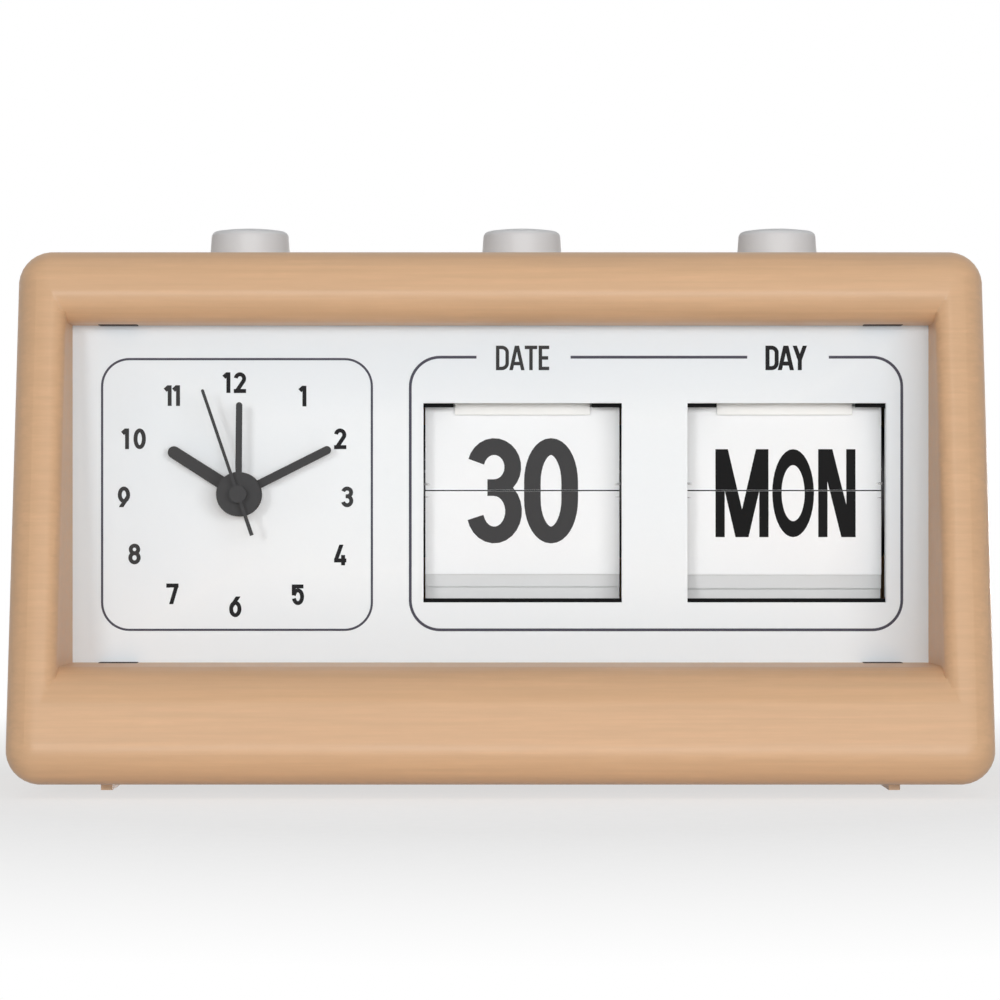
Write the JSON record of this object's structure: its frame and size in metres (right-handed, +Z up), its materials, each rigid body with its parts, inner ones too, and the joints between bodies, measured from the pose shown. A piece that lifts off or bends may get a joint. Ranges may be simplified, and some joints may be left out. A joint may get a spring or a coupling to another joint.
{
  "type": "desk clock",
  "caption": "Desk clock with an alarm dial on the left and flip-card date and day windows on the right, in a rounded wood-look case with step buttons on top.",
  "frame": {"origin": "middle of the footprint on the table, under the overall box", "axes": "+Z up, +X along the case width to the reader's right, the dial looks along -Y"},
  "size_m": [0.199, 0.0909, 0.1185],
  "materials": {
    "case": "wood-look moulded plastic, satin gloss",
    "dial": "white, matt, printed black",
    "cover": "moulded brown plastic, fine grain",
    "rails": "matte moulded plastic in the case colour",
    "button": "light grey, fine satin",
    "steel": "drawn spring steel",
    "white_parts": "natural moulding",
    "cards": "white PVC card, printed",
    "grey_parts": "dark moulding",
    "tab": "light grey film",
    "hands": "dark grey satin paint",
    "knobs": "beige, ridged",
    "copper": "enamelled copper winding",
    "magnet": "sintered magnet",
    "board": "green laminate",
    "cell": "plain wrapped cell",
    "black_parts": "black moulding"
  },
  "bodies": {
    "case": {"case_shell": "case", "dial_plate": "dial", "rear_cover": "cover", "rail_left": "rails", "rail_right": "rails", "cover_screw_left": "steel", "cover_screw_right": "steel", "alarm_spring": "steel", "date_spring": "steel", "day_spring": "steel", "alarm_guide": "white_parts", "alarm_switch": "black_parts", "date_frame": "black_parts", "day_frame": "black_parts", "date_axle": "steel", "day_axle": "steel", "date_tab": "tab", "day_tab": "tab", "date_click": "steel", "day_click": "steel", "movement_body": "white_parts", "movement_cover": "white_parts", "coil": "copper", "stator": "steel", "circuit_board": "board", "battery": "cell", "contact_plus": "steel", "contact_minus": "steel", "buzzer": "black_parts"},
    "battery_door": {"battery_door": "cover"},
    "alarm_button": {"alarm_button": "button"},
    "date_button": {"date_button": "button"},
    "date_drum": {"date_drum": "grey_parts", "date_leaves": "cards"},
    "date_flap": {"date_flap": "cards"},
    "date_fallen": {"date_fallen": "cards"},
    "date_fallen_next": {"date_fallen_next": "cards"},
    "day_button": {"day_button": "button"},
    "day_drum": {"day_drum": "grey_parts", "day_leaves": "cards"},
    "day_flap": {"day_flap": "cards"},
    "day_fallen": {"day_fallen": "cards"},
    "day_fallen_next": {"day_fallen_next": "cards"},
    "hour": {"hour_hand": "hands", "hour_wheel": "white_parts"},
    "minute": {"minute_hand": "hands", "cannon_pinion": "white_parts"},
    "seconds": {"second_hand": "hands", "second_wheel": "white_parts"},
    "alarm": {"alarm_hand": "hands", "alarm_wheel": "white_parts"},
    "centre": {"centre_wheel": "white_parts"},
    "third": {"third_wheel": "white_parts"},
    "intermediate": {"intermediate_wheel": "white_parts"},
    "rotor": {"rotor": "magnet"},
    "time_setting": {"motion_wheel": "white_parts", "time_knob": "knobs"},
    "alarm_setting": {"alarm_setter": "white_parts", "alarm_knob": "knobs"}
  },
  "joints": [
    {"name": "battery_door_lift", "type": "slide", "parent": "case", "child": "battery_door", "axis": [0, 1, 0], "range_m": [0, 0.012]},
    {"name": "alarm_button_press", "type": "slide", "parent": "case", "child": "alarm_button", "axis": [0, 0, -1], "range_m": [0, 0.0025], "stiffness_N_per_m": 300, "springref_m": -0.002, "deforming": ["alarm_spring"]},
    {"name": "date_button_press", "type": "slide", "parent": "case", "child": "date_button", "axis": [0, 0, -1], "range_m": [0, 0.0025], "stiffness_N_per_m": 300, "springref_m": -0.002, "deforming": ["date_spring", "date_tab", "date_click"]},
    {"name": "date_drum_step", "type": "hinge", "parent": "case", "child": "date_drum", "pos_m": [0.0046, 0.00787, 0.0619], "axis": [1, 0, 0], "range_deg": [0, 11.61]},
    {"name": "date_flap_fall", "type": "hinge", "parent": "date_drum", "child": "date_flap", "pos_m": [0.0046, -0.00546, 0.06326], "axis": [1, 0, 0], "range_deg": [0, 168.39]},
    {"name": "date_fallen_hang", "type": "hinge", "parent": "date_drum", "child": "date_fallen", "pos_m": [0.0046, -0.00546, 0.06054], "axis": [1, 0, 0], "range_deg": [-11.61, 0]},
    {"name": "date_fallen_next_hang", "type": "hinge", "parent": "date_drum", "child": "date_fallen_next", "pos_m": [0.0046, -0.00491, 0.05789], "axis": [1, 0, 0], "range_deg": [-11.61, 0]},
    {"name": "day_button_press", "type": "slide", "parent": "case", "child": "day_button", "axis": [0, 0, -1], "range_m": [0, 0.0025], "stiffness_N_per_m": 300, "springref_m": -0.002, "deforming": ["day_spring", "day_tab", "day_click"]},
    {"name": "day_drum_step", "type": "hinge", "parent": "case", "child": "day_drum", "pos_m": [0.05965, 0.00787, 0.0619], "axis": [1, 0, 0], "range_deg": [0, 12.86]},
    {"name": "day_flap_fall", "type": "hinge", "parent": "day_drum", "child": "day_flap", "pos_m": [0.05965, -0.00544, 0.0634], "axis": [1, 0, 0], "range_deg": [0, 167.14]},
    {"name": "day_fallen_hang", "type": "hinge", "parent": "day_drum", "child": "day_fallen", "pos_m": [0.05965, -0.00544, 0.0604], "axis": [1, 0, 0], "range_deg": [-12.86, 0]},
    {"name": "day_fallen_next_hang", "type": "hinge", "parent": "day_drum", "child": "day_fallen_next", "pos_m": [0.05965, -0.00477, 0.05747], "axis": [1, 0, 0], "range_deg": [-12.86, 0]},
    {"name": "rotor_turn", "type": "hinge", "parent": "case", "child": "rotor", "pos_m": [-0.04379, -0.00453, 0.05136], "axis": [0, 1, 0], "continuous": true},
    {"name": "second_hand_turn", "type": "hinge", "parent": "case", "child": "seconds", "pos_m": [-0.05415, -0.00453, 0.061], "axis": [0, 1, 0], "continuous": true},
    {"name": "third_wheel_turn", "type": "hinge", "parent": "case", "child": "third", "pos_m": [-0.04875, -0.00453, 0.07035], "axis": [0, 1, 0], "continuous": true},
    {"name": "centre_wheel_turn", "type": "hinge", "parent": "case", "child": "centre", "pos_m": [-0.05415, -0.00453, 0.061], "axis": [0, 1, 0], "continuous": true},
    {"name": "intermediate_wheel_turn", "type": "hinge", "parent": "case", "child": "intermediate", "pos_m": [-0.04626, -0.00453, 0.05813], "axis": [0, 1, 0], "continuous": true},
    {"name": "minute_hand_turn", "type": "hinge", "parent": "case", "child": "minute", "pos_m": [-0.05415, -0.00453, 0.061], "axis": [0, 1, 0], "continuous": true},
    {"name": "hour_hand_turn", "type": "hinge", "parent": "case", "child": "hour", "pos_m": [-0.05415, -0.00453, 0.061], "axis": [0, 1, 0], "continuous": true},
    {"name": "time_knob_turn", "type": "hinge", "parent": "case", "child": "time_setting", "pos_m": [-0.05415, -0.00453, 0.0502], "axis": [0, 1, 0], "continuous": true},
    {"name": "alarm_knob_turn", "type": "hinge", "parent": "case", "child": "alarm_setting", "pos_m": [-0.06395, -0.00453, 0.061], "axis": [0, 1, 0], "continuous": true},
    {"name": "alarm_hand_turn", "type": "hinge", "parent": "case", "child": "alarm", "pos_m": [-0.05415, -0.00453, 0.061], "axis": [0, 1, 0], "continuous": true}
  ],
  "couplings": [
    {"joint": "date_drum_step", "follows": "date_button_press", "rad_per_m": 81.072},
    {"joint": "date_flap_fall", "follows": "date_button_press", "rad_per_m": 1175.6},
    {"joint": "date_fallen_hang", "follows": "date_button_press", "rad_per_m": -81.072},
    {"joint": "date_fallen_next_hang", "follows": "date_button_press", "rad_per_m": -81.072},
    {"joint": "day_drum_step", "follows": "day_button_press", "rad_per_m": 89.758},
    {"joint": "day_flap_fall", "follows": "day_button_press", "rad_per_m": 1166.9},
    {"joint": "day_fallen_hang", "follows": "day_button_press", "rad_per_m": -89.758},
    {"joint": "day_fallen_next_hang", "follows": "day_button_press", "rad_per_m": -89.758},
    {"joint": "intermediate_wheel_turn", "follows": "rotor_turn", "ratio": -0.2},
    {"joint": "second_hand_turn", "follows": "rotor_turn", "ratio": 0.033333},
    {"joint": "third_wheel_turn", "follows": "rotor_turn", "ratio": -0.0044444},
    {"joint": "centre_wheel_turn", "follows": "rotor_turn", "ratio": 0.00055556},
    {"joint": "hour_hand_turn", "follows": "minute_hand_turn", "ratio": 0.083333},
    {"joint": "time_knob_turn", "follows": "minute_hand_turn", "ratio": -0.33333},
    {"joint": "alarm_hand_turn", "follows": "alarm_knob_turn", "ratio": -0.33333}
  ]
}
